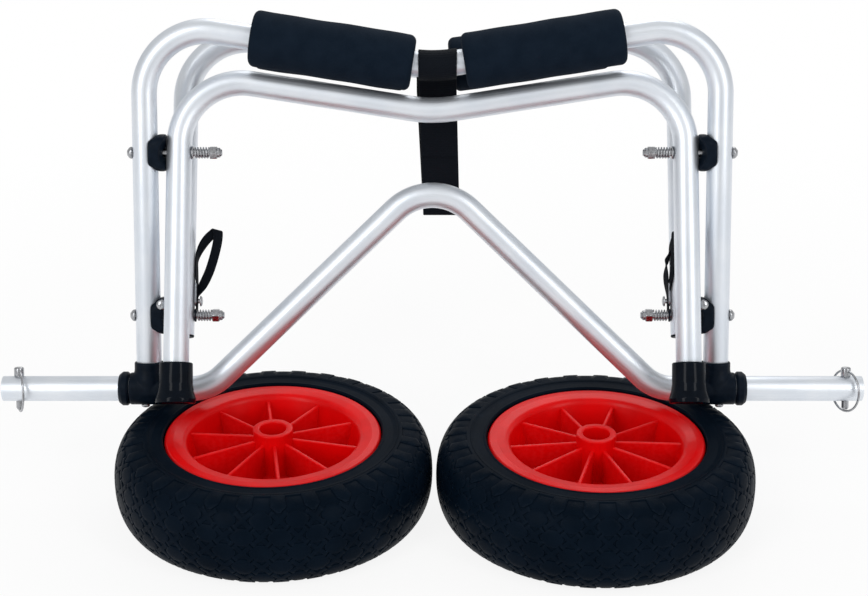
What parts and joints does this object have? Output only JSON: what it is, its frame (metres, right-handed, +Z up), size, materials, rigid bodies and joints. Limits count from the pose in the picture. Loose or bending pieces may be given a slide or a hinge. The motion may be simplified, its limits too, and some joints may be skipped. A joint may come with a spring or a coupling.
{
  "type": "folding kayak cart",
  "caption": "Kayak cart, folded: padded aluminium frames on an arched axle, with a kickstand, a strap, lock pins, and its wheels off and lying flat.",
  "frame": {"origin": "middle of the footprint's bounding box, on the floor under the wheels", "axes": "+X along the axle, to the right seen from the front; +Y to the back, the way the frames lean; +Z up"},
  "size_m": [0.7294, 0.3588, 0.3939],
  "materials": {
    "aluminium_tube": "satin anodised, drawn tube",
    "zinc_steel": "bright zinc plate",
    "black_fitting": "satin moulded black",
    "glossy_rubber": "glossy moulded black",
    "foam": "closed-cell foam tube, blue-black, fine grain",
    "webbing": "ribbed black webbing",
    "tyre_rubber": "blue-black, knobbly tread",
    "red_rim": "glossy moulded red"
  },
  "bodies": {
    "main_frame": {"main_frame_tube": "aluminium_tube", "axle_tube": "aluminium_tube", "left_tee_fitting": "black_fitting", "left_tee_collar": "black_fitting", "left_tee_screw": "zinc_steel", "right_tee_fitting": "black_fitting", "right_tee_collar": "black_fitting", "right_tee_screw": "zinc_steel", "left_upper_saddle": "black_fitting", "left_upper_bolt": "zinc_steel", "left_upper_washer": "zinc_steel", "left_upper_spring": "zinc_steel", "left_upper_nut": "zinc_steel", "left_lower_saddle": "black_fitting", "left_lower_bolt": "zinc_steel", "left_lower_washer": "black_fitting", "left_lower_spring": "zinc_steel", "left_lower_nut": "zinc_steel", "right_upper_saddle": "black_fitting", "right_upper_bolt": "zinc_steel", "right_upper_washer": "zinc_steel", "right_upper_spring": "zinc_steel", "right_upper_nut": "zinc_steel", "right_lower_saddle": "black_fitting", "right_lower_bolt": "zinc_steel", "right_lower_washer": "black_fitting", "right_lower_spring": "zinc_steel", "right_lower_nut": "zinc_steel", "left_main_pad": "foam", "right_main_pad": "foam", "spread_strap": "webbing"},
    "kickstand": {"kickstand_tube": "aluminium_tube", "left_kickstand_foot": "glossy_rubber", "right_kickstand_foot": "glossy_rubber"},
    "cradle": {"cradle_tube": "aluminium_tube", "left_cradle_pad": "foam", "left_cradle_plug": "black_fitting", "left_anchor_tab": "zinc_steel", "left_anchor_rivet": "zinc_steel", "left_webbing_loop": "webbing", "right_cradle_pad": "foam", "right_cradle_plug": "black_fitting", "right_anchor_tab": "zinc_steel", "right_anchor_rivet": "zinc_steel", "right_webbing_loop": "webbing"},
    "left_wheel": {"left_tyre": "tyre_rubber", "left_rim": "red_rim"},
    "right_wheel": {"right_tyre": "tyre_rubber", "right_rim": "red_rim"},
    "left_pin": {"left_lock_pin": "zinc_steel"},
    "right_pin": {"right_lock_pin": "zinc_steel"},
    "left_bail": {"left_lock_pin_bail": "zinc_steel"},
    "right_bail": {"right_lock_pin_bail": "zinc_steel"}
  },
  "joints": [
    {"name": "kickstand_swing", "type": "hinge", "parent": "main_frame", "child": "kickstand", "pos_m": [0, 0.0694, 0.27851], "axis": [-1, 0, 0], "range_deg": [0, 26]},
    {"name": "cradle_swing", "type": "hinge", "parent": "main_frame", "child": "cradle", "pos_m": [0, 0.02997, 0.1471], "axis": [-1, 0, 0], "range_deg": [0, 70], "deforming": ["spread_strap"]},
    {"name": "left_wheel_spin", "type": "hinge", "parent": "main_frame", "child": "left_wheel", "pos_m": [-0.132, -0.03927, 0], "axis": [0, 0, 1], "continuous": true},
    {"name": "right_wheel_spin", "type": "hinge", "parent": "main_frame", "child": "right_wheel", "pos_m": [0.135, -0.04777, 0], "axis": [0, 0, 1], "continuous": true},
    {"name": "left_pin_lift", "type": "slide", "parent": "main_frame", "child": "left_pin", "axis": [0, 0.2874, 0.9578], "range_m": [0, 0.007]},
    {"name": "right_pin_lift", "type": "slide", "parent": "main_frame", "child": "right_pin", "axis": [0, 0.2874, 0.9578], "range_m": [0, 0.007]},
    {"name": "left_bail_flip", "type": "hinge", "parent": "left_pin", "child": "left_bail", "pos_m": [-0.351, 0.01638, 0.1018], "axis": [-0.3746, 0.8881, -0.2664], "range_deg": [0, 170]},
    {"name": "right_bail_flip", "type": "hinge", "parent": "right_pin", "child": "right_bail", "pos_m": [0.351, 0.01638, 0.1018], "axis": [0.4695, -0.8457, 0.2537], "range_deg": [0, 170]}
  ]
}
